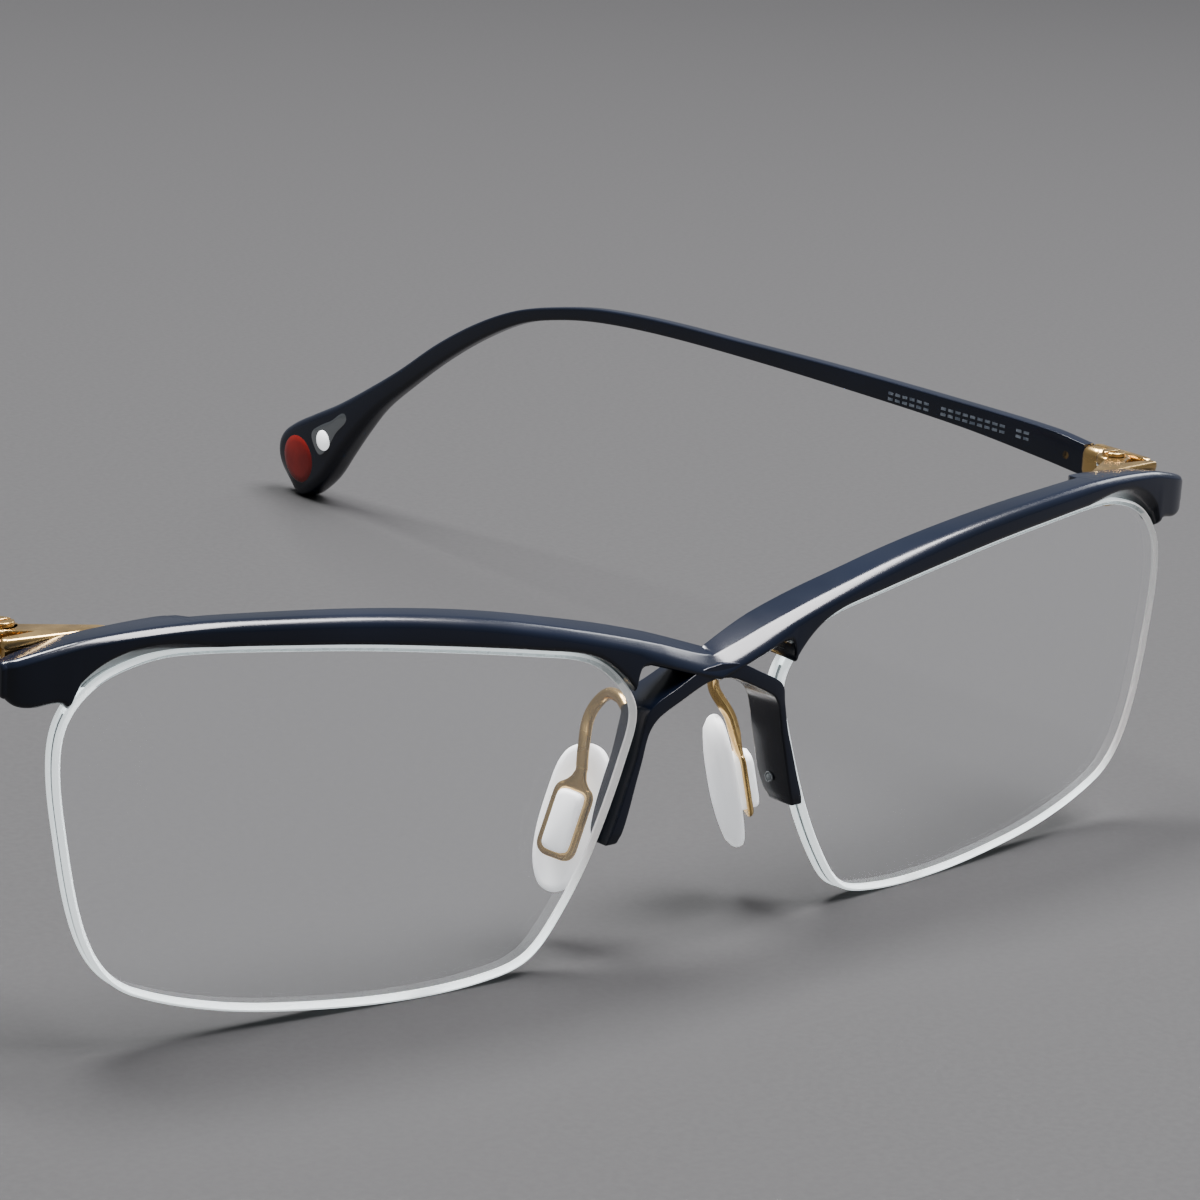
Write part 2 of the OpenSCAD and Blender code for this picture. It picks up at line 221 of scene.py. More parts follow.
def tube(path, radius, count=16, loop=False, flat=None):
    """A round bar along a path. flat gives a second radius, along the ring's other axis."""
    path = np.asarray(path, float)
    rings = []
    side_axis = None
    for i, p in enumerate(path):
        if loop:
            ahead = path[(i + 1) % len(path)] - path[i - 1]
        else:
            ahead = path[min(i + 1, len(path) - 1)] - path[max(i - 1, 0)]
        ahead /= np.linalg.norm(ahead)
        if side_axis is None:
            side_axis = np.cross(ahead, TUBE_UP)
        side_axis = side_axis - ahead * (side_axis @ ahead)
        side_axis /= np.linalg.norm(side_axis)
        other = np.cross(ahead, side_axis)
        other_radius = radius if flat is None else flat
        rings.append([p + radius * math.cos(a) * side_axis + other_radius * math.sin(a) * other
                      for a in angles_of(count)])
    return skin(rings, ends=not loop, loop=loop)


# ---- materials ----

def material(name, base, rough, metallic=0.0, **sockets):
    """A material, its principled shader and its node tree. sockets are set straight on the shader."""
    made = bpy.data.materials.new(name)
    made.use_nodes = True
    shader = made.node_tree.nodes["Principled BSDF"]
    shader.inputs["Base Color"].default_value = (*base, 1)
    shader.inputs["Roughness"].default_value = rough
    shader.inputs["Metallic"].default_value = metallic
    for socket, value in sockets.items():
        shader.inputs[socket.replace("_", " ").title().replace("Ior", "IOR")].default_value = value
    return made, shader, made.node_tree


def noise(tree, scale, detail=3, stretch=(1, 1, 1)):
    """Noise over object coordinates, in metres."""
    place_node = tree.nodes.new("ShaderNodeTexCoord")
    mapping = tree.nodes.new("ShaderNodeMapping")
    mapping.inputs["Scale"].default_value = stretch
    pattern = tree.nodes.new("ShaderNodeTexNoise")
    pattern.inputs["Scale"].default_value = scale
    pattern.inputs["Detail"].default_value = detail
    tree.links.new(place_node.outputs["Object"], mapping.inputs["Vector"])
    tree.links.new(mapping.outputs["Vector"], pattern.inputs["Vector"])
    return pattern.outputs["Fac"]


def along_x(tree):
    """How far across its piece a point lies, from 0 at the left end to 1 at the right."""
    place_node = tree.nodes.new("ShaderNodeTexCoord")
    split = tree.nodes.new("ShaderNodeSeparateXYZ")
    tree.links.new(place_node.outputs["Generated"], split.inputs["Vector"])
    return split.outputs["X"]


def spread(tree, value, socket, low, high, start=0.35, end=0.65):
    """Maps a pattern's value to a range on a shader socket."""
    node = tree.nodes.new("ShaderNodeMapRange")
    node.inputs["From Min"].default_value = start
    node.inputs["From Max"].default_value = end
    node.inputs["To Min"].default_value = low
    node.inputs["To Max"].default_value = high
    tree.links.new(value, node.inputs["Value"])
    tree.links.new(node.outputs["Result"], socket)


def tint(tree, value, socket, dark, light, start=0.35, end=0.65):
    """Mixes two colours by a pattern's value."""
    node = tree.nodes.new("ShaderNodeValToRGB")
    node.color_ramp.elements[0].position = start
    node.color_ramp.elements[0].color = (*dark, 1)
    node.color_ramp.elements[1].position = end
    node.color_ramp.elements[1].color = (*light, 1)
    tree.links.new(value, node.inputs["Fac"])
    tree.links.new(node.outputs["Color"], socket)


def bump(tree, value, shader, strength, distance):
    """Fine relief, from a pattern's value, in metres."""
    node = tree.nodes.new("ShaderNodeBump")
    node.inputs["Strength"].default_value = strength
    node.inputs["Distance"].default_value = distance
    tree.links.new(value, node.inputs["Height"])
    tree.links.new(node.outputs["Normal"], shader.inputs["Normal"])


EDGE_PAINTED_GLOW = 0.95            # painted glow: emission on the ground edge, standing in for the light that it collects from the lens
EDGE_PAINTED_GLOW_NEAR = 0.24       # the same painted glow, weaker on the side of each lens that the lamps are on
NEAR_SIDE = (0.84, 0.93)    # where the painted glow and the edge's painted shade turn from the one to the other, as shares of the lens's width
GLASS_PAINTED_GLOW = 0.018          # painted glow: a faint emission that lightens the clear lens like a veil
STONE_PAINTED_GLINT = 1.0            # painted glint: emission that stands for the lamps' light in the stone
PAD_PAINTED_GLOW = 0.5              # painted glow: emission standing in for light that comes through the clear pads from behind


def painted_metal():
    made, shader, tree = material("navy_paint", (0.0018, 0.0035, 0.009), 0.22, coat_weight=0.15,
                                  coat_roughness=0.08, specular_ior_level=0.34)
    tint(tree, noise(tree, 60, 2), shader.inputs["Base Color"],
         (0.0014, 0.003, 0.008), (0.0024, 0.0044, 0.0115))
    spread(tree, noise(tree, 150, 2), shader.inputs["Roughness"], 0.2, 0.24)
    return made


def gold_metal():
    made, shader, tree = material("gold_metal", (0.6, 0.4, 0.16), 0.26, 1.0)
    tint(tree, noise(tree, 200, 2), shader.inputs["Base Color"],
         (0.56, 0.37, 0.145), (0.64, 0.43, 0.18))
    spread(tree, noise(tree, 400, 2), shader.inputs["Roughness"], 0.23, 0.29)
    return made


def lens_glass():
    made, shader, tree = material("lens_clear", (0.985, 0.99, 0.995), 0.0,
                                  transmission_weight=1.0, ior=1.5)
    # painted glow: the clear lens gives off a faint light of its own
    shader.inputs["Emission Color"].default_value = (0.93, 0.95, 1, 1)
    shader.inputs["Emission Strength"].default_value = GLASS_PAINTED_GLOW
    spread(tree, noise(tree, 120, 3), shader.inputs["Roughness"], 0.0, 0.012)
    return made


def frosted_edge():
    """The lens's ground edge, whose painted glow fades and whose white is darkened by painted shade
    towards the side that the lamps are on.
    """
    made, shader, tree = material("lens_edge", (0.95, 0.97, 0.97), 0.5, subsurface_weight=0.4)
    shader.inputs["Subsurface Scale"].default_value = 0.0008
    shader.inputs["Subsurface Radius"].default_value = (1, 1, 1)
    # painted glow: the edge emits light though it is no lamp, less towards the side that the lamps are on
    shader.inputs["Emission Color"].default_value = (0.86, 0.95, 0.97, 1)
    spread(tree, along_x(tree), shader.inputs["Emission Strength"],
           EDGE_PAINTED_GLOW, EDGE_PAINTED_GLOW_NEAR, *NEAR_SIDE)
    # painted shade: the edge's white darkens towards the side that the lamps are on
    tint(tree, along_x(tree), shader.inputs["Base Color"],
         (0.93, 0.96, 0.96), (0.52, 0.47, 0.45), *NEAR_SIDE)
    spread(tree, noise(tree, 700, 4, (1, 1, 3)), shader.inputs["Roughness"], 0.42, 0.58)
    bump(tree, noise(tree, 4000, 3), shader, 0.1, 0.00001)
    return made


def nylon():
    made, shader, tree = material("nylon", (0.5, 0.54, 0.55), 0.3, transmission_weight=0.25, ior=1.45)
    spread(tree, noise(tree, 1200, 3), shader.inputs["Roughness"], 0.22, 0.38)
    return made


def silicone():
    made, shader, tree = material("silicone", (0.96, 0.97, 0.98), 0.4, subsurface_weight=0.8, ior=1.42)
    shader.inputs["Subsurface Scale"].default_value = 0.002
    shader.inputs["Subsurface Radius"].default_value = (1, 1, 1)
    # painted glow: the pads give off light though they are no lamp
    shader.inputs["Emission Color"].default_value = (0.93, 0.96, 1, 1)
    shader.inputs["Emission Strength"].default_value = PAD_PAINTED_GLOW
    tint(tree, noise(tree, 250, 3), shader.inputs["Base Color"],
         (0.93, 0.945, 0.96), (0.985, 0.99, 0.995))
    spread(tree, noise(tree, 900, 3), shader.inputs["Roughness"], 0.34, 0.48)
    return made


def polished_silver():
    made, shader, tree = material("silver_metal", (0.3, 0.32, 0.33), 0.18, 1.0)
    spread(tree, noise(tree, 1200, 3), shader.inputs["Roughness"], 0.14, 0.24)
    return made


def bright_stone():
    made, shader, tree = material("tip_stone", (0.96, 0.97, 0.99), 0.12,
                                  coat_weight=1.0, coat_roughness=0.04)
    # painted glint: the stone glows though it is no lamp
    shader.inputs["Emission Color"].default_value = (0.95, 0.97, 1, 1)
    shader.inputs["Emission Strength"].default_value = STONE_PAINTED_GLINT
    spread(tree, noise(tree, 900, 2), shader.inputs["Roughness"], 0.1, 0.18)
    return made


def red_lacquer():
    made, shader, tree = material("red_lacquer", (0.16, 0.006, 0.004), 0.35, coat_weight=0.2,
                                  coat_roughness=0.15, specular_ior_level=0.3)
    tint(tree, noise(tree, 300, 3), shader.inputs["Base Color"],
         (0.12, 0.004, 0.003), (0.2, 0.009, 0.006))
    spread(tree, noise(tree, 700, 2), shader.inputs["Roughness"], 0.28, 0.4)
    return made


def faded_print():
    made, shader, tree = material("print_grey", (0.1, 0.12, 0.15), 0.6)
    tint(tree, noise(tree, 1500, 4), shader.inputs["Base Color"],
         (0.05, 0.065, 0.09), (0.15, 0.17, 0.2))
    return made


NAVY = painted_metal()
GOLD = gold_metal()
GLASS = lens_glass()
EDGE = frosted_edge()
NYLON = nylon()
SILICONE = silicone()
SILVER = polished_silver()
STONE = bright_stone()
RED = red_lacquer()
PRINT = faded_print()

# ---- lenses ----

# The right lens's outline in its own frame: u outboard and v up, from its datum point
LENS_POINTS = [
    (17.2, 17), (21.2, 16.5), (24.8, 15), (27.3, 12.2), (28, 8.5), (27.3, 2.4), (25.7, -4.9),
    (23.6, -9.1), (20.5, -11.5), (12.4, -14), (3, -15.4), (-6, -16), (-13.5, -15.7), (-17.8, -14.6),
    (-20.6, -11.7), (-24, -5.8), (-27.1, 2.2), (-28, 6.3), (-26.4, 9.2), (-22.8, 11.8), (-17, 13.1),
    (-3.1, 15.2), (7, 16.3),
]
LENS_EDGE = smooth(LENS_POINTS, 8, closed=True)
LENS_RINGS = [0.06, 0.25, 0.45, 0.62, 0.76, 0.87, 0.94]    # the face's rings, as shares of the outline
FACE_RIM = 0.7              # and its last ring but one, as a distance from the outline
GROOVE_SLOPE = 0.08
CORD_INSET = 0.06           # how deep below the lens's edge the cord lies
CORD_TOP_OUTBOARD = 12.8    # v where the cord enters the metal
CORD_TOP_NASAL = 8


def from_lens(points):
    """Points (u, n, v) in the right lens's own frame: outboard along it, back and up."""
    u, n, v = np.asarray(points, float).reshape(-1, 3).T
    x = BRIDGE_W / 2 + (LENS_W / 2 + u) * math.cos(WRAP) - n * math.sin(WRAP)
    y = (LENS_W / 2 + u) * math.sin(WRAP) + n * math.cos(WRAP)
    return np.stack([x, y, LENS_MID + v], 1)


def sag(loop, depth):
    """How far back the surface at that depth in the lens lies, at each point of a loop (u, v)."""
    return LENS_R + VERTEX - np.sqrt((LENS_R - depth) ** 2 - (loop**2).sum(1))


def lens_ring(loop, depth, shift=0.0):
    """A loop on the surface at that depth in the lens, moved back by shift."""
    return from_lens(np.stack([loop[:, 0], sag(loop, depth) + shift, loop[:, 1]], 1))


def lens_shape():
    """The lens, from the middle of its front to the middle of its back, and which faces are ground."""
    flat = [LENS_EDGE * s for s in LENS_RINGS]
    flat += [grow(LENS_EDGE, -FACE_RIM), grow(LENS_EDGE, -LENS_BEVEL)]
    front = [lens_ring(loop, 0) for loop in flat]
    groove_0 = LENS_T / 2 - GROOVE_W / 2
    groove_1 = LENS_T / 2 + GROOVE_W / 2
    deep = grow(LENS_EDGE, -GROOVE_D)
    edge = [
        lens_ring(LENS_EDGE, 0, LENS_BEVEL),
        lens_ring(LENS_EDGE, 0, groove_0),
        lens_ring(deep, 0, groove_0 + GROOVE_SLOPE),
        lens_ring(deep, 0, groove_1 - GROOVE_SLOPE),
        lens_ring(LENS_EDGE, 0, groove_1),
        lens_ring(LENS_EDGE, 0, LENS_T - LENS_BEVEL),
    ]
    back = [lens_ring(loop, LENS_T) for loop in reversed(flat)]
    verts, faces = skin(front + edge + back)
    count = len(LENS_EDGE)
    ground = range((len(front) - 1) * count, (len(front) + len(edge)) * count)
    return (verts, faces), ground


def make_lenses():
    shape, ground = lens_shape()
    groove = lens_ring(grow(LENS_EDGE, -CORD_D / 2 - CORD_INSET), 0, LENS_T / 2)
    for name, side in SIDES.items():
        lens = build("lens_" + name + "_glass", shape, side, "front", GLASS,
                     ["lens_" + name], sharp=30)
        lens.data.materials.append(EDGE)
        for face in lens.data.polygons:
            if face.index in ground:
                face.material_index = 1
        corded = [p for p, q in zip(groove, LENS_EDGE) if cord_free(q)]
        build("nylon_cord_" + name, tube(corded, CORD_D / 2, 12), side, "front", NYLON,
              ["lens_cord_" + name])


def cord_free(point):
    """True below the metal, where the lens hangs in the cord."""
    u, v = point
    return v < (CORD_TOP_OUTBOARD if u > 0 else CORD_TOP_NASAL)


make_lenses()

# ---- brow bar and end blocks ----

# Each table below holds (u, value) rows along the right half: heights v, or depths n behind the datum
BAR_TOP = smooth([(-38, 9.5), (-30, 12), (-22.4, 14.1), (-12.1, 16.4), (-2.2, 17.9), (8, 18.8), (17, 19.2),
                  (25, 18.8), (29.3, 18), (32.2, 17.2)], 6)
BAR_FRONT = smooth([(-38, 0.2), (-30, -0.4), (-18, -1), (-4, -1.35), (10, -1.25), (22, -0.65), (29, 0.1),
                    (31.3, 0.7), (32.3, 1.6)], 6)
# The back steps out at u = 16 to the ledge that carries the hinge
BAR_BACK = np.vstack([
    smooth([(-38, 2.6), (-30, 3.1), (-18, 2.3), (-4, 1.7), (10, 1.8), (15.6, 2.05)], 6),
    [(16.1, 3.2), (16.7, 3.8), (17.5, 3.85), (22, 3.5), (31.4, 3.3), (31.9, 3.1), (32.3, 2.6)],
])
# The metal's underside follows the lens from the nasal tab to the end block
SNUG = 0.1
TAB_V = 8.4
BLOCK_U = 27
OVER_LENS = [p for p in grow(LENS_EDGE, SNUG) if p[1] > TAB_V and p[0] < BLOCK_U]
TAB_UNDER = [(-38, 7.8), (-35, 8.6), (-33.3, 9.1), (-30.8, 9.9), (-28.7, 10.5), (-27.9, 10.45),
             (-27.55, 10.15), (-27.35, 9.6), (-27.2, 8.6), (-27.05, 8.3), (-26.85, 8.3)]
BLOCK_UNDER = smooth([(27.15, 13.2), (27.6, 13.65), (28.4, 13.72), (30, 13.5), (31.2, 13.65),
                      (31.9, 14.2), (32.3, 15.2)], 4)
BAR_UNDER = TAB_UNDER + sorted(map(tuple, OVER_LENS)) + [tuple(p) for p in BLOCK_UNDER]
# How much higher the top's rear edge is than its front edge
TOP_TILT = [(-38, 0.6), (-30, 0.6), (-18, 0.3), (0, 0), (15.6, -0.2), (16.6, -0.45), (32.3, -0.4)]
# Height of the slope between the front and the top, and how far back it runs for that height
CHAMFER = [(-38, 1.0), (-30, 0.9), (-20, 0.72), (-5, 0.6), (32.3, 0.52)]
CHAMFER_RUN = [(-38, 1.15), (17, 1.15), (25, 0.85), (32.3, 0.72)]
# Rounding between the front and that slope, and between the slope and the top
RIDGE_R = [(-38, 0.42), (12, 0.42), (20, 0.15), (32.3, 0.12)]
SHOULDER_R = [(-38, 0.14), (-28, 0.18), (-12, 0.42), (32.3, 0.42)]
# How far the front's lower edge stands forward of the front, where it meets the strut
FRONT_LOW = [(-38, 0.3), (-31, 0.3), (-28.6, 0.15), (-25.5, 0), (32.3, 0)]
# Width of the slope along the front's lower edge
UNDERCUT = [(-38, 0.3), (14, 0.3), (18, 0.8), (22, 1.3), (26.2, 1.4), (26.9, 0.7), (27.3, 0.3),
            (32.3, 0.3)]
CENTRE_U = -LENS_W / 2 - BRIDGE_W / 2 / math.cos(WRAP)    # the bridge's middle
JOINT_U = 26                # where the end block begins
BAR_END = 32.3
BAR_END_R = 0.4
SWOOSH = 1.6                # how softly the ridge turns at the bridge's middle
SWOOSH_REACH = 6            # and how far from there that is felt
FINE_RUNS = [(-29.4, -25.6), (15.4, 17.6), (26, 28.8)]    # where the section changes fast
FINE_COUNT = 34


def bar_section(u):
    """The bar's section at u: front, slope, top, back and underside."""
    from_centre = u - CENTRE_U
    soft_u = (CENTRE_U + math.hypot(from_centre, SWOOSH)
              - SWOOSH / 2 * max(0, 1 - from_centre / SWOOSH_REACH))
    top = rise(u, BAR_TOP)
    soft_top = rise(soft_u, BAR_TOP)
    under = rise(u, BAR_UNDER)
    front = rise(soft_u, BAR_FRONT)
    back = rise(u, BAR_BACK)
    rear_top = top + rise(u, TOP_TILT)
    c = rise(u, CHAMFER)
    cut = rise(u, UNDERCUT)
    low = front - rise(u, FRONT_LOW)
    corners = [
        (low + cut, under),
        (low, under + cut),
        (front, soft_top - c),
        (front + c * rise(u, CHAMFER_RUN), soft_top),
        (back, rear_top),
        (back, under + 0.3),
    ]
    ring = rounded(corners, [0.2, 0.25, rise(u, RIDGE_R), rise(u, SHOULDER_R), 0.15, 0.3], 4)
    return np.stack([np.full(len(ring), u), ring[:, 0], ring[:, 1]], 1)


def bar_rings(start, end, count):
    """Sections from start to end, closer together at the tab, the ledge's start and the block."""
    stations = set(np.linspace(start, end, count))
    for low, high in FINE_RUNS:
        stations |= {u for u in np.linspace(low, high, FINE_COUNT) if start < u < end}
    return [from_lens(bar_section(u)) for u in sorted(stations)]


def rounded_end(ring, along, length):
    """Rings beyond a bar's last one, which close it with a soft edge."""
    middle = ring.mean(0)
    away = ring - middle
    size = np.linalg.norm(away, axis=1)[:, None]
    out = []
    for t in (0.35, 0.7, 0.92, 1.0):
        shrink = length * (1 - math.sqrt(1 - t * t)) * 0.9
        scaled = away * (1 - np.minimum(shrink / size, 0.9))
        out.append(middle + scaled + np.asarray(along) * length * t)
    return out


def make_bar():
    half_rings = bar_rings(CENTRE_U, JOINT_U, 190)
    half_rings[0][:, 0] = 0
    whole = [ring * (-1, 1, 1) for ring in reversed(half_rings[1:])] + half_rings
    build("brow_bar_metal", skin(whole), 1, "front", NAVY, ["brow_bar"], sharp=35)
    out = np.array([math.cos(WRAP), math.sin(WRAP), 0])
    for name, side in SIDES.items():
        rings = bar_rings(JOINT_U, BAR_END - BAR_END_R, 34)
        rings += rounded_end(rings[-1], out, BAR_END_R)
        build("end_block_" + name + "_metal", skin(rings), side, "front", NAVY,
              ["end_block_" + name], sharp=35)


make_bar()

# ---- nose legs: a strut from the bridge's middle, and a deep leg that holds the lens's nasal edge ----

# The two edges seen from the front, as x and the height above the datum, then the depths at each row
LEG_INNER = [(0, 8.35), (1.7, 8.1), (4.3, 7), (6.6, 5.85), (7.4, 5), (7.8, 4), (8.25, 2), (8.8, 0),
             (9.4, -2.3), (9.95, -4.1), (10.25, -4.8)]
LEG_OUTER = [(0, 9.7), (2.3, 9.4), (4.9, 8.25), (7.1, 7.2), (7.95, 6.4), (8.3, 5), (8.95, 2.3), (9.75, 0),
             (10.5, -2.2), (11.2, -4), (11.5, -4.8)]
LEG_FRONT = [-0.85, -0.9, -0.9, -0.8, -0.7, -0.6, -0.6, -0.6, -0.6, -0.55, -0.4]
LEG_BACK = [3.1, 3.1, 3.3, 3.5, 3.6, 3.6, 3.6, 3.6, 3.55, 3.2, 2.8]
CORD_HOLE = (9.42, 1.9, 13.2)    # where the nylon cord ends, in the leg's medial face
# Depth and radius of each ring of the cord's end
CORD_DOME = [(0.3, 0.3), (0, 0.3), (-0.1, 0.24), (-0.16, 0.14), (-0.18, 0.03)]
COLLAR_R = 0.42
COLLAR_WIRE = 0.1


def leg_shape():
    """The strut and the leg in one sweep, from the bridge's middle to the leg's foot."""
    rows = np.array([(*a, *b, f, k) for a, b, f, k in zip(LEG_INNER, LEG_OUTER, LEG_FRONT, LEG_BACK)])
    rings = []
    for x0, z0, x1, z1, front, back in smooth(rows, 8):
        width = math.hypot(x1 - x0, z1 - z0)
        corners = [(0, front), (0, back), (width, back), (width, front)]
        ring = rounded(corners, [0.2, 0.2, 0.15, 0.12], 4)
        rings.append(np.array([(x0 + (x1 - x0) * a / width, y, LENS_MID + z0 + (z1 - z0) * a / width)
                               for a, y in ring]))
    rings[0][:, 0] = 0
    return skin(rings + rounded_end(rings[-1], (0.3, 0, -0.95), 0.35))


def cord_end():
    """The domed end of the cord, and the small collar round it."""
    x, y, z = CORD_HOLE
    angles = angles_of(20)
    dome = [[(x + depth, y + r * math.cos(a), z + r * math.sin(a)) for a in angles]
            for depth, r in CORD_DOME]
    around = [(x, y + COLLAR_R * math.cos(a), z + COLLAR_R * math.sin(a)) for a in angles]
    return skin(dome), tube(around, COLLAR_WIRE, 10, loop=True)


def make_legs():
    dome, collar = cord_end()
    for name, side in SIDES.items():
        build("nose_leg_" + name + "_metal", leg_shape(), side, "front", NAVY,
              ["nose_leg_" + name], sharp=35)
        build("cord_end_" + name, dome, side, "front", NYLON)
        build("cord_collar_" + name, collar, side, "front", SILVER)


make_legs()

# ---- nose pads and their arms ----

PAD_AT = np.array([9.96, 7.24, LENS_MID - 4.7])
PAD_TURN = (Matrix.Rotation(math.radians(-27), 3, "Z") @ Matrix.Rotation(math.radians(-15), 3, "Y")
            @ Matrix.Rotation(math.radians(10), 3, "X"))
PAD_W, PAD_H, PAD_T = 5.8, 13.3, 2
BOSS_W, BOSS_H, BOSS_END, BOSS_Z = 2.4, 5.5, 2.1, -0.25
RING_X, RING_T, RING_WIRE = 0.6, 0.8, 0.6
ARM_D = 1.1
# The pad's outline, in shares of its width and height
PAD_POINTS = [(0.1, 0.5), (0.42, 0.4), (0.5, 0.15), (0.44, -0.25), (0.2, -0.47), (-0.1, -0.5),
              (-0.38, -0.38), (-0.5, -0.1), (-0.42, 0.3), (-0.2, 0.47)]
PAD_OUTLINE = smooth([(y * PAD_W, z * PAD_H) for y, z in PAD_POINTS], 6, closed=True)
PAD_DOME = 0.42             # how far the dome falls off at the outline, as a share of the thickness
PAD_DOME_POWER = 2.4
# Depth and inset of each ring round the pad's rim, then of the boss behind it
PAD_RIM = [(-0.95, 0.18), (-0.7, 0.03), (-0.4, 0), (-0.14, 0.08), (0, 0.3), (0, 0.6), (-0.14, 0.8)]
BOSS_RINGS = [(-0.3, 0), (BOSS_END - 0.35, 0), (BOSS_END - 0.12, 0.1), (BOSS_END, 0.38)]
ARM_PATH = [(7.7, 3.4, 22), (7.4, 4.6, 22.5), (6.95, 6.9, 22.1), (7.7, 8, 20.1), (9, 7.1, 17.6)]
# The wire's spread into its ring: distance from the ring, half width and half thickness
ARM_SHOULDER = [(1.9, 0.5, 0.5), (1.4, 0.56, 0.5), (0.9, 0.72, 0.46), (0.5, 1.0, 0.43), (0.15, 1.4, 0.4),
                (-0.15, 1.55, 0.36)]


def from_pad(points):
    """Points in the pad's own frame, as points of the front."""
    turn = np.array(PAD_TURN)
    return np.asarray(points, float).reshape(-1, 3) @ turn.T + PAD_AT


def pad_ring(x, inset):
    loop = grow(PAD_OUTLINE, -inset)
    return from_pad([(x, y, z) for y, z in loop])


def scaled_pad_ring(x, scale):
    return from_pad([(x, y * scale, z * scale) for y, z in PAD_OUTLINE])


def pad_shape():
    """Domed towards the nose, with a soft rim and a shallow flat behind."""
    dome = [scaled_pad_ring(-PAD_T * (1 - PAD_DOME * s**PAD_DOME_POWER), s)
            for s in (0.05, 0.25, 0.45, 0.62, 0.76, 0.87)]
    rim = [pad_ring(x, inset) for x, inset in PAD_RIM]
    behind = [scaled_pad_ring(-0.16, s) for s in (0.6, 0.3, 0.05)]
    plate = skin(dome + rim + behind)
    boss_rings = []
    for x, inset in BOSS_RINGS:
        ring = box_ring(BOSS_W - 2 * inset, BOSS_H - 2 * inset, 0.8)
        boss_rings.append(from_pad([(x, y, z + BOSS_Z) for y, z in ring]))
    return join(plate, skin(boss_rings))


def arm_shape():
    """A bent wire that spreads into a rounded rectangular ring round the pad's boss."""
    mid_x = RING_X + RING_T / 2
    half_w = BOSS_W / 2 + RING_WIRE / 2
    half_h = BOSS_H / 2 + RING_WIRE / 2
    ring_path = box_ring(2 * half_w, 2 * half_h, 0.9, 6)
    ring_points = from_pad([(mid_x, y, z + BOSS_Z) for y, z in ring_path])
    ring = tube(ring_points, RING_WIRE / 2, 14, loop=True, flat=RING_T / 2)
    neck = from_pad([(mid_x, 0, half_h + BOSS_Z + d) for d in (2.6, 1.6)])
    path = smooth(np.vstack([ARM_PATH, neck[1:]]), 8)
    wire = tube(path, ARM_D / 2, 16)
    shoulder = []
    for d, wide, thick in ARM_SHOULDER:
        level = half_h + BOSS_Z + d
        shoulder.append(from_pad([(mid_x + thick * math.cos(a), wide * math.sin(a), level)
                                  for a in angles_of(20)]))
    return join(wire, ring, skin(shoulder))


def make_pads():
    for name, side in SIDES.items():
        build("nose_pad_" + name + "_silicone", pad_shape(), side, "front", SILICONE,
              ["nose_pad_" + name], sharp=60)
        build("pad_arm_" + name + "_wire", arm_shape(), side, "front", GOLD,
              ["pad_arm_" + name], sharp=60)


make_pads()

# ---- hinges ----

# One plate of the fork seen from above, and the web between the two plates
FORK_PLAN = [(57.2, 8.7), (66.9, 9.5), (66.9, 10.2), (63.2, 10.6), (65.6, 12), (64.6, 13.4),
             (63.4, 13.2), (57.2, 9.6)]
FORK_ROOT = [(57.8, 8.9), (66.7, 9.6), (66.7, 10.1), (63.2, 10.6), (63.4, 11.4), (62.6, 12.4),
             (57.8, 9.5)]
FORK_RIM = 0.32             # rounding of the plates' edges
# The leaf: a neck to the temple's blade, and a cheek outboard of the fork's eyes
CHEEK_X = PIN[0] + EYE_D / 2 + 0.12
CHEEK_T = 0.8
CHEEK_Y = 10.6
BLADE_Y = 18
NECK_Y = 15.45
SHAFT_R = 0.7
HEAD_R = 1.15
SLOT_HALF = 0.18            # half the width of the screw's slot


def turned(shape):
    """Opens a temple's shape outward about its pin."""
    verts, faces = shape
    out = []
    for x, y, z in verts:
        dx, dy = x - PIN[0], y - PIN[1]
        out.append((PIN[0] + dx * math.cos(SPLAY) + dy * math.sin(SPLAY),
                    PIN[1] - dx * math.sin(SPLAY) + dy * math.cos(SPLAY), z))
    return out, faces


def block(x0, x1, y0, y1, z0, z1, bevel):
    """A box with soft edges."""
    plan = rounded([(x0, y0), (x0, y1), (x1, y1), (x1, y0)], [bevel] * 4, 3)
    return prism(plan, z0, z1, bevel)


def fork_shape():
    """Two plates with an eye each, and the web that joins them."""
    plan = rounded(FORK_PLAN, [0.3, 0.4, 0.3, 0.2, 0.4, 0.4, 0.4, 0.3], 3)
    return join(
        prism(plan, HINGE_Z, HINGE_Z + EYE_H, FORK_RIM),
        disc(PIN, EYE_D / 2, HINGE_Z, HINGE_Z + EYE_H, FORK_RIM),
        prism(FORK_ROOT, HINGE_Z + EYE_H / 2, TOP_EYE_Z + EYE_H / 2, 0.05),
        prism(plan, TOP_EYE_Z, HINGE_TOP, FORK_RIM),
        disc(PIN, EYE_D / 2, TOP_EYE_Z, HINGE_TOP, FORK_RIM),
    )


def leaf_shape():
    """The middle eye, its neck, and the cheek beside the fork."""
    top = MID_EYE_Z + EYE_H
    return join(
        disc(PIN, EYE_D / 2, MID_EYE_Z, top, 0.2),
        block(PIN[0], PIN[0] + EYE_D / 2, PIN[1], NECK_Y + 0.5, MID_EYE_Z, top, 0.2),
        block(PIN[0] + 0.2, BLADE_X + BLADE_T, NECK_Y, BLADE_Y + 0.05, HINGE_Z, HINGE_TOP, 0.8),
        block(CHEEK_X, CHEEK_X + CHEEK_T, CHEEK_Y, BLADE_Y, HINGE_Z, HINGE_TOP, 0.38),
    )


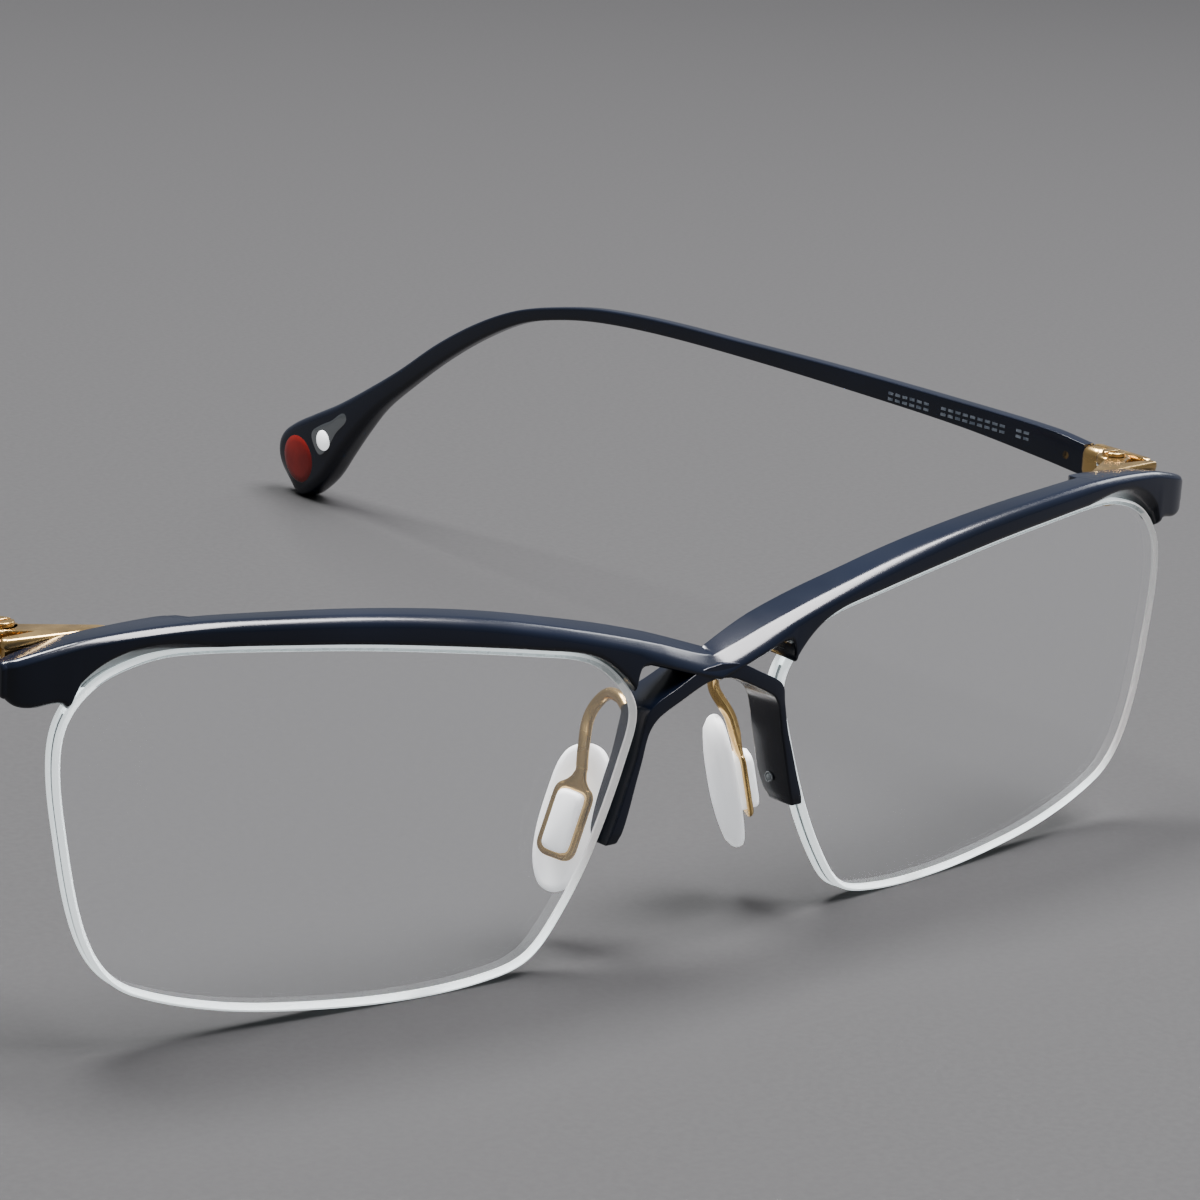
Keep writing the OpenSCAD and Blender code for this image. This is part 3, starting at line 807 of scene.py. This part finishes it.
def screw_shape():
    """A shaft under a low head with a slot cut across it."""
    parts = [disc(PIN, SHAFT_R, HINGE_Z, HINGE_TOP, 0.05),
             disc(PIN, HEAD_R, HINGE_TOP - 0.05, HINGE_TOP + 0.16, 0.05)]
    start = math.asin(SLOT_HALF / HEAD_R)
    for turn in (0, math.pi):
        angles = np.linspace(start, math.pi - start, 20) + turn
        outline = np.stack([PIN[0] + HEAD_R * np.cos(angles), PIN[1] + HEAD_R * np.sin(angles)], 1)
        parts.append(prism(outline, HINGE_TOP + 0.05, HINGE_TOP + 0.42, 0.14))
    return join(*parts)


def make_hinges():
    fork = fork_shape()
    screw = screw_shape()
    leaf = turned(leaf_shape())
    for name, side in SIDES.items():
        build("hinge_fork_" + name + "_gold", fork, side, "front", GOLD,
              ["hinge_fork_" + name])
        build("hinge_screw_" + name + "_gold", screw, side, "front", GOLD,
              ["hinge_screw_" + name])
        build("hinge_leaf_" + name + "_gold", leaf, side, "temple_" + name + "_side", GOLD,
              ["hinge_leaf_" + name])


make_hinges()

# ---- temples ----

# Top point (y, z), underside point (y, z), thickness, corner radius
TEMPLE_ROWS = [
    ((18, 34.3), (18, 31.1), 1.4, 0.16),
    ((23, 34.8), (23.5, 31.6), 1.4, 0.16),
    ((35.5, 34.95), (35.6, 32.4), 1.4, 0.18),
    ((53.5, 34.9), (53.6, 32.8), 1.4, 0.2),
    ((69.5, 34.6), (69.4, 32.9), 1.4, 0.22),
    ((83, 34.3), (82.6, 32.7), 1.4, 0.25),
    ((93, 33.6), (92.4, 32.1), 1.45, 0.3),
    ((100.4, 32.4), (99.4, 31.1), 1.5, 0.35),
    ((107.5, 30.7), (106.3, 29.4), 1.5, 0.35),
    ((114.5, 27.9), (113.2, 26.3), 1.55, 0.45),
    ((121.8, 24), (120.2, 22.2), 1.6, 0.55),
    ((128.8, 19.4), (127, 17.5), 1.9, 0.7),
    ((135, 15.7), (132, 13.7), 2.5, 1.0),
    ((140, 12.9), (135.6, 10), 3.1, 1.2),
    ((144.6, 10.7), (138.6, 6.5), 3.5, 1.3),
    ((148.4, 8.8), (141.2, 3.3), 3.6, 1.3),
    ((150.6, 7.1), (143.6, 1.2), 3.5, 1.3),
    ((151.2, 5.2), (145.4, 0.15), 3.1, 1.2),
    ((150.7, 3.4), (146.9, 0.05), 2.4, 1.0),
    ((149.6, 1.9), (148, 0.7), 1.3, 0.5),
]
CAP_AT = (146.4, 4.8)
CAP_TILT = math.radians(-52)
CAP_SHORT, CAP_LONG = 2.8, 3.1
INLAY = [(137.4, 12.1), (140.4, 10.8), (142.6, 9.7), (144, 8.5), (143.3, 6.9), (142.1, 6.1),
         (140.7, 7.2), (139.2, 9.4)]
STONE_AT = (141.5, 8.15)
STONE_R = 1.3
# Depths over the bulb's inner face and the scale of the outline at each, for the three trims
CAP_DEPTHS = [(1, 1), (0.05, 1), (-0.08, 0.93), (-0.16, 0.72), (-0.22, 0.4), (-0.24, 0.03)]
INLAY_DEPTHS = [(0.6, 1), (0.03, 1), (-0.05, 0.92), (-0.1, 0.7), (-0.13, 0.34), (-0.14, 0.03)]
STONE_DEPTHS = [(0.3, 1), (-0.05, 1), (-0.2, 0.9), (-0.32, 0.68), (-0.4, 0.36), (-0.42, 0.03)]
# The bulb's lengthwise direction as (y, z), and its thickness at distances along that
BULB_ALONG = (0.57, -0.82)
BULB_ROWS = [(64, 2.5), (69.2, 3.1), (73.6, 3.5), (77.6, 3.6), (80, 3.5)]
# Dashes along the blade: each run's first y and its count
PRINT_RUNS = [(46, 6), (38.2, 9), (27.4, 2)]
PRINT_PITCH = 1.06
PRINT_Z = 33.45
PRINT_SPREAD = 0.3          # each line's distance from the middle
DASH_LONG = 0.72
DASH_HALF = 0.14
DASH_X = (BLADE_X - 0.02, BLADE_X + 0.05)


def temple_shape():
    """The blade, its bend and the widened tip, in one sweep."""
    rows = np.array([(*a, *b, t, r) for a, b, t, r in TEMPLE_ROWS])
    rings = []
    for y0, z0, y1, z1, t, r in smooth(rows, 7):
        height = math.hypot(y0 - y1, z0 - z1)
        ring = box_ring(t, height, r, 5)
        rings.append([(BLADE_MID + x,
                       y1 + (y0 - y1) * (0.5 + h / height),
                       z1 + (z0 - z1) * (0.5 + h / height)) for x, h in ring])
    return skin(rings)


def bulb_face(y, z):
    """x of the bulb's inner face."""
    return BLADE_MID - rise(y * BULB_ALONG[0] + z * BULB_ALONG[1], BULB_ROWS) / 2


def on_bulb(loop, rows):
    """A trim on the bulb's inner face over a closed (y, z) loop, from rows of depth and scale."""
    middle = loop.mean(0)
    return skin([[(bulb_face(*p) + depth, *p) for p in middle + (loop - middle) * scale]
                 for depth, scale in rows])


def print_dashes():
    """Two lines of short dashes on the blade's inner face."""
    marks = []
    for start, count in PRINT_RUNS:
        for i in range(count):
            y1 = start - i * PRINT_PITCH
            y0 = y1 - DASH_LONG
            for middle in (PRINT_Z - PRINT_SPREAD, PRINT_Z + PRINT_SPREAD):
                z0 = middle - DASH_HALF
                z1 = middle + DASH_HALF
                outline = [(y0, z0), (y1, z0), (y1, z1), (y0, z1)]
                marks.append(skin([[(x, *p) for p in outline] for x in DASH_X]))
    return join(*marks)


def cap_loop():
    """The cap's oval outline."""
    angles = -angles_of(40)
    y = CAP_SHORT * np.cos(angles)
    z = CAP_LONG * np.sin(angles)
    return np.stack([CAP_AT[0] + y * math.cos(CAP_TILT) - z * math.sin(CAP_TILT),
                     CAP_AT[1] + y * math.sin(CAP_TILT) + z * math.cos(CAP_TILT)], 1)


def stone_loop():
    angles = -angles_of(32)
    return np.stack([STONE_AT[0] + STONE_R * np.cos(angles), STONE_AT[1] + STONE_R * np.sin(angles)], 1)


def make_temples():
    cap = on_bulb(cap_loop(), CAP_DEPTHS)
    inlay = on_bulb(smooth(INLAY, 6, closed=True), INLAY_DEPTHS)
    stone = on_bulb(stone_loop(), STONE_DEPTHS)
    for name, side in SIDES.items():
        body = "temple_" + name + "_side"
        build("temple_" + name + "_arm", turned(temple_shape()), side, body, NAVY,
              ["temple_" + name], sharp=60)
        build("tip_cap_" + name + "_lacquer", turned(cap), side, body, RED,
              ["tip_cap_" + name])
        build("tip_inlay_" + name + "_silver", turned(inlay), side, body, SILVER,
              ["tip_inlay_" + name])
        build("tip_stone_" + name, turned(stone), side, body, STONE)
    build("temple_print", turned(print_dashes()), 1, "temple_right_side", PRINT)


make_temples()

# The small hidden parts keep their CAD meshes
for node, made in (("rim_liner", NYLON), ("hinge_washers", NYLON), ("leaf_rivet", GOLD)):
    for name in SIDES:
        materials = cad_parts[node + "_" + name].data.materials
        materials.clear()
        materials.append(made)

# ---- floor, lights and camera ----

CAMERA_AT = (-0.24075, -0.32745, 0.1243)
CAMERA_YAW = math.radians(41.971)
CAMERA_PITCH = math.radians(15.061)
CAMERA_ROLL = math.radians(3.732)
CAMERA_LENS = 125.59


def make_floor():
    mesh = bpy.data.meshes.new("floor")
    half = 6
    corners = [(-half, -half, 0), (half, -half, 0), (half, half, 0), (-half, half, 0)]
    mesh.from_pydata(corners, [], [(0, 1, 2, 3)])
    floor = bpy.data.objects.new("floor", mesh)
    bpy.context.scene.collection.objects.link(floor)
    made, shader, tree = material("floor_grey", (0.032, 0.0317, 0.0323), 0.8, specular_ior_level=0.15)
    tint(tree, noise(tree, 1400, 3), shader.inputs["Base Color"],
         (0.0305, 0.0302, 0.0308), (0.0335, 0.0332, 0.0338))
    mesh.materials.append(made)


def area_light(name, at, target, size, watts, colour=(1, 1, 1)):
    light = bpy.data.lights.new(name, "AREA")
    light.shape = "RECTANGLE"
    light.size, light.size_y = size
    light.energy = watts
    light.color = colour
    lamp = bpy.data.objects.new(name, light)
    bpy.context.scene.collection.objects.link(lamp)
    lamp.location = at
    lamp.rotation_euler = (Vector(target) - Vector(at)).to_track_quat("-Z", "Y").to_euler()


def make_lights():
    area_light("overhead", (0.36, -0.26, 0.98), (0, -0.04, 0.02), (0.68, 0.52), 50, (1, 0.98, 1))
    area_light("rear", (-0.08, 0.36, 1.15), (0, -0.03, 0.02), (0.5, 0.4), 50)
    area_light("side", (1.05, 0.14, 0.56), (0, -0.05, 0.02), (0.3, 0.4), 3.6, (0.95, 0.97, 1))
    world = bpy.data.worlds.new("soft_room")
    world.use_nodes = True
    background = world.node_tree.nodes["Background"]
    background.inputs["Color"].default_value = (0.8, 0.83, 0.88, 1)
    background.inputs["Strength"].default_value = 0.3
    bpy.context.scene.world = world


def make_camera():
    level_run = math.cos(CAMERA_PITCH)
    ahead = Vector((math.sin(CAMERA_YAW) * level_run, math.cos(CAMERA_YAW) * level_run,
                    -math.sin(CAMERA_PITCH)))
    level = ahead.cross(Vector((0, 0, 1))).normalized()
    upright = level.cross(ahead)
    right = math.cos(CAMERA_ROLL) * level + math.sin(CAMERA_ROLL) * upright
    up = right.cross(ahead)
    data = bpy.data.cameras.new("camera")
    data.lens = CAMERA_LENS
    data.clip_start = 0.01
    camera = bpy.data.objects.new("camera", data)
    bpy.context.scene.collection.objects.link(camera)
    axes = Matrix((right, up, -ahead)).transposed().to_4x4()
    camera.matrix_world = Matrix.Translation(CAMERA_AT) @ axes
    bpy.context.scene.camera = camera


make_floor()
make_lights()
make_camera()
